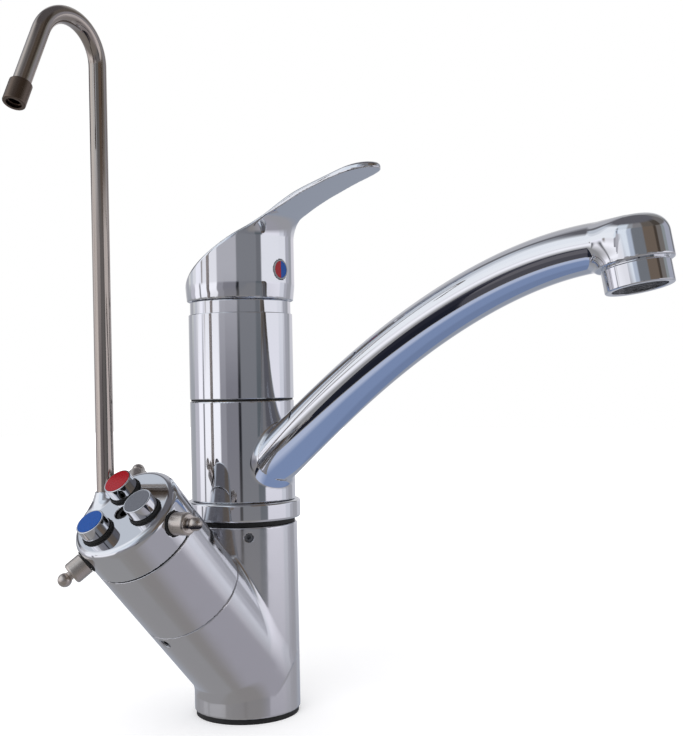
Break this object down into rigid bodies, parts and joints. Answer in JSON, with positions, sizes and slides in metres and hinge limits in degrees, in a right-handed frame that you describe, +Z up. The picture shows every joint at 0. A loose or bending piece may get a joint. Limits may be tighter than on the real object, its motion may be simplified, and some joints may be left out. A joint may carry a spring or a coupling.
{
  "type": "three way filtered water tap",
  "caption": "chromed kitchen mixer tap with a single lever, an arched swivel spout, a tilted head with red, grey and blue push buttons and a slim bent filter spout",
  "frame": {"origin": "the centre of the foot's underside, where it rests on the sink", "axes": "+Z up, the main spout points along -Y, the filter head leans out along -X"},
  "size_m": [0.1542, 0.249, 0.3292],
  "materials": {
    "chrome": "polished chrome plate on cast brass",
    "stainless": "drawn stainless tube, softly polished",
    "nickel": "satin nickel plate",
    "bronze": "dark bronze finish",
    "brass": "machined brass",
    "black_rubber": "moulded rubber, matt black",
    "black_plastic": "moulded black plastic",
    "white_plastic": "turned white slip ring",
    "grey_plastic": "moulded grey plastic",
    "mesh_plastic": "moulded dark plastic mesh",
    "ceramic": "lapped white ceramic",
    "steel": "plain stainless steel",
    "spring_steel": "stainless spring wire",
    "red_inlay": "glossy red inlay",
    "blue_inlay": "glossy blue inlay",
    "grey_inlay": "glossy grey inlay"
  },
  "bodies": {
    "base": {"base_gasket": "black_rubber", "lower_body": "chrome", "column_screw": "steel", "branch_screw": "steel", "centre_column": "brass", "swivel_washer": "black_plastic", "trim_ring": "chrome", "column_o_rings": "black_rubber", "column_glide_rings": "white_plastic", "upper_washer": "black_plastic", "cartridge_sleeve": "chrome", "cartridge_base": "grey_plastic", "cartridge_body": "grey_plastic", "cartridge_seals": "black_rubber", "fixed_disc": "ceramic", "cartridge_nut": "brass", "dome_cover": "chrome", "valve_housing": "chrome", "housing_o_ring": "black_rubber", "tube_collets": "black_plastic", "valve_seats": "black_rubber", "head_gasket": "black_rubber", "head_cap": "chrome", "centre_screw": "steel", "gland_bushes": "white_plastic", "button_rings": "black_rubber", "red_spring": "spring_steel", "grey_spring": "spring_steel", "blue_spring": "spring_steel", "regulator_seats": "black_plastic"},
    "spout": {"main_spout": "chrome", "aerator_housing": "chrome", "aerator_insert": "mesh_plastic", "aerator_seal": "black_rubber"},
    "turret": {"cartridge_turret": "grey_plastic", "stem_pin": "steel"},
    "discs": {"moving_disc": "ceramic", "disc_carrier": "white_plastic"},
    "lever_assembly": {"lever_stem": "steel", "lever": "chrome", "lever_screw": "steel", "indicator_base": "chrome", "indicator_hot": "red_inlay", "indicator_cold": "blue_inlay"},
    "red_push": {"red_button": "chrome", "red_disc": "red_inlay", "red_valve": "brass"},
    "grey_push": {"grey_button": "chrome", "grey_disc": "grey_inlay", "grey_valve": "brass"},
    "blue_push": {"blue_button": "chrome", "blue_disc": "blue_inlay", "blue_valve": "brass"},
    "red_flow_screw": {"red_regulator": "nickel"},
    "grey_flow_screw": {"grey_regulator": "nickel"},
    "blue_flow_screw": {"blue_regulator": "nickel"},
    "filter_spout_assembly": {"filter_spout": "stainless", "spout_ferrule": "brass", "ferrule_o_ring": "black_rubber", "filter_spout_tip": "bronze"}
  },
  "joints": [
    {"name": "spout_swivel", "type": "hinge", "parent": "base", "child": "spout", "pos_m": [0, 0, 0.129], "axis": [0, 0, 1], "range_deg": [-75, 225]},
    {"name": "lever_turn", "type": "hinge", "parent": "base", "child": "turret", "pos_m": [0, 0, 0.186], "axis": [0, 0, 1], "range_deg": [-45, 45]},
    {"name": "lever_lift", "type": "hinge", "parent": "turret", "child": "lever_assembly", "pos_m": [0, 0, 0.186], "axis": [-1, 0, 0], "range_deg": [0, 20]},
    {"name": "disc_slide", "type": "slide", "parent": "turret", "child": "discs", "axis": [0, -1, 0], "range_m": [0, 0.00267]},
    {"name": "red_push_in", "type": "slide", "parent": "base", "child": "red_push", "axis": [0.682, 0, -0.7314], "range_m": [0, 0.0035], "stiffness_N_per_m": 1500, "springref_m": -0.002, "deforming": ["red_spring"]},
    {"name": "grey_push_in", "type": "slide", "parent": "base", "child": "grey_push", "axis": [0.682, 0, -0.7314], "range_m": [0, 0.0035], "stiffness_N_per_m": 1500, "springref_m": -0.002, "deforming": ["grey_spring"]},
    {"name": "blue_push_in", "type": "slide", "parent": "base", "child": "blue_push", "axis": [0.682, 0, -0.7314], "range_m": [0, 0.0035], "stiffness_N_per_m": 1500, "springref_m": -0.002, "deforming": ["blue_spring"]},
    {"name": "red_flow_turn", "type": "hinge", "parent": "base", "child": "red_flow_screw", "pos_m": [-0.05437, 0.01678, 0.11718], "axis": [0.6063, 0.5592, 0.5654], "range_deg": [0, 270]},
    {"name": "grey_flow_turn", "type": "hinge", "parent": "base", "child": "grey_flow_screw", "pos_m": [-0.07103, -0.02993, 0.10164], "axis": [0.051, -0.9976, 0.0476], "range_deg": [0, 270]},
    {"name": "blue_flow_turn", "type": "hinge", "parent": "base", "child": "blue_flow_screw", "pos_m": [-0.09229, 0.01315, 0.08183], "axis": [-0.6573, 0.4384, -0.613], "range_deg": [0, 270]},
    {"name": "filter_spout_swivel", "type": "hinge", "parent": "base", "child": "filter_spout_assembly", "pos_m": [-0.071, 0.0196, 0.098], "axis": [0, 0, 1], "range_deg": [-90, 90]}
  ],
  "couplings": [
    {"joint": "disc_slide", "follows": "lever_lift", "m_per_rad": 0.007661}
  ]
}
